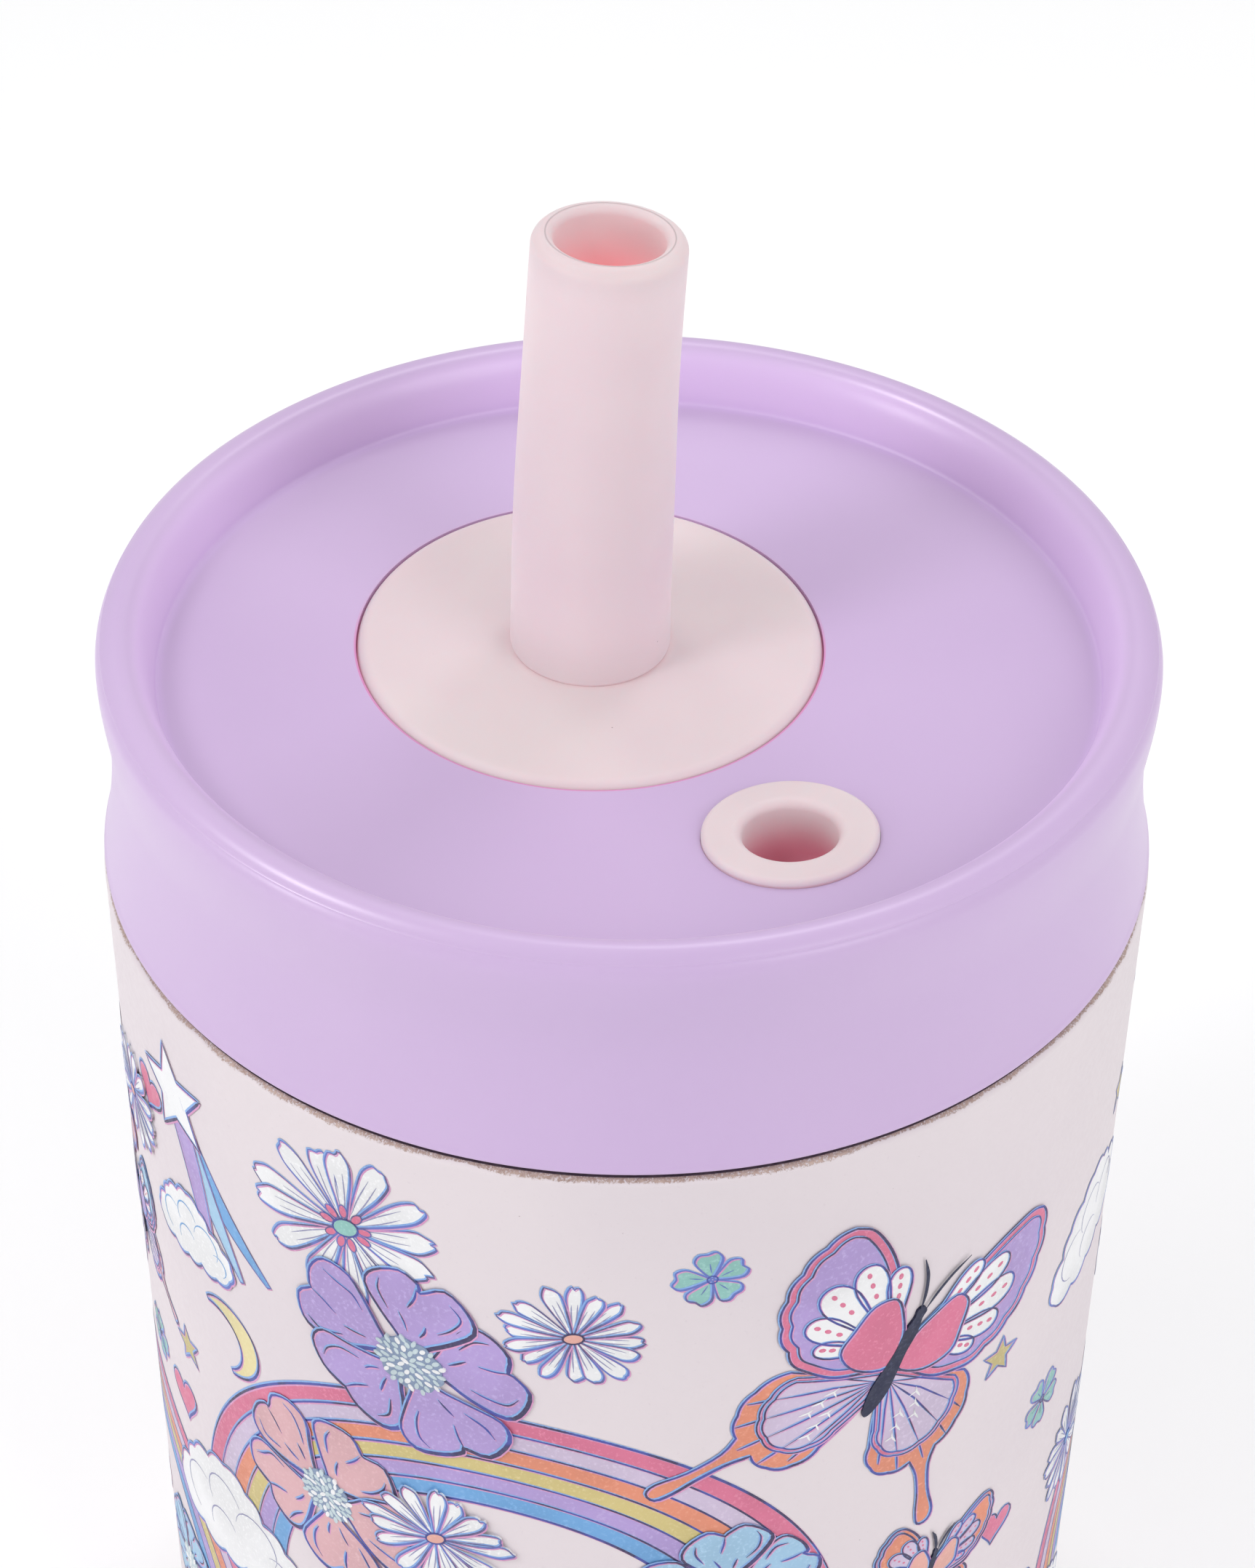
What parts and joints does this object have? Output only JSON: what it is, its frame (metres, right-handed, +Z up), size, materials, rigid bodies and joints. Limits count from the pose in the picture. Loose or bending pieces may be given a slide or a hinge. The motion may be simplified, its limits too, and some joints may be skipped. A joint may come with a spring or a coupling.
{
  "type": "insulated straw cup",
  "caption": "Double-wall steel toddler cup with a screw-on dished lid, a soft straw on a silicone disc, a dip tube and a small air vent.",
  "frame": {"origin": "centre of the foot, on the table", "axes": "+Z up along the cup's axis; air vent towards -Y, straw towards +Y"},
  "size_m": [0.0868, 0.0868, 0.1573],
  "materials": {
    "coated_steel": "fine powder coat, pale pink, with a raised print",
    "bare_steel": "satin",
    "getter_metal": "sintered",
    "seal_glass": "fused glass",
    "lid_plastic": "lavender, satin gloss",
    "straw_silicone": "matte translucent silicone, pale pink",
    "gasket_silicone": "matte translucent silicone, clear white",
    "tube_plastic": "clear"
  },
  "bodies": {
    "cup": {"outer_shell": "coated_steel", "inner_liner": "bare_steel", "base_plate": "bare_steel", "base_cap": "bare_steel", "getter_clip": "bare_steel", "getter": "getter_metal", "seal_bead": "seal_glass"},
    "lid_seal": {"lid_gasket": "gasket_silicone"},
    "lid": {"lid": "lid_plastic"},
    "straw": {"straw_spout": "straw_silicone", "dip_tube": "tube_plastic"},
    "vent": {"vent_valve": "straw_silicone"}
  },
  "joints": [
    {"name": "lid_rise", "type": "slide", "parent": "cup", "child": "lid_seal", "axis": [0, 0, 1], "range_m": [0, 0.008]},
    {"name": "lid_turn", "type": "hinge", "parent": "lid_seal", "child": "lid", "pos_m": [0, 0, 0.11], "axis": [0, 0, 1], "range_deg": [0, 360]},
    {"name": "straw_pull", "type": "slide", "parent": "lid", "child": "straw", "axis": [0, -0.0203, 0.9998], "range_m": [0, 0.12]},
    {"name": "vent_pull", "type": "slide", "parent": "lid", "child": "vent", "axis": [0, 0.08, 0.9968], "range_m": [0, 0.02]}
  ],
  "couplings": [
    {"joint": "lid_rise", "follows": "lid_turn", "m_per_rad": 0.001273}
  ]
}
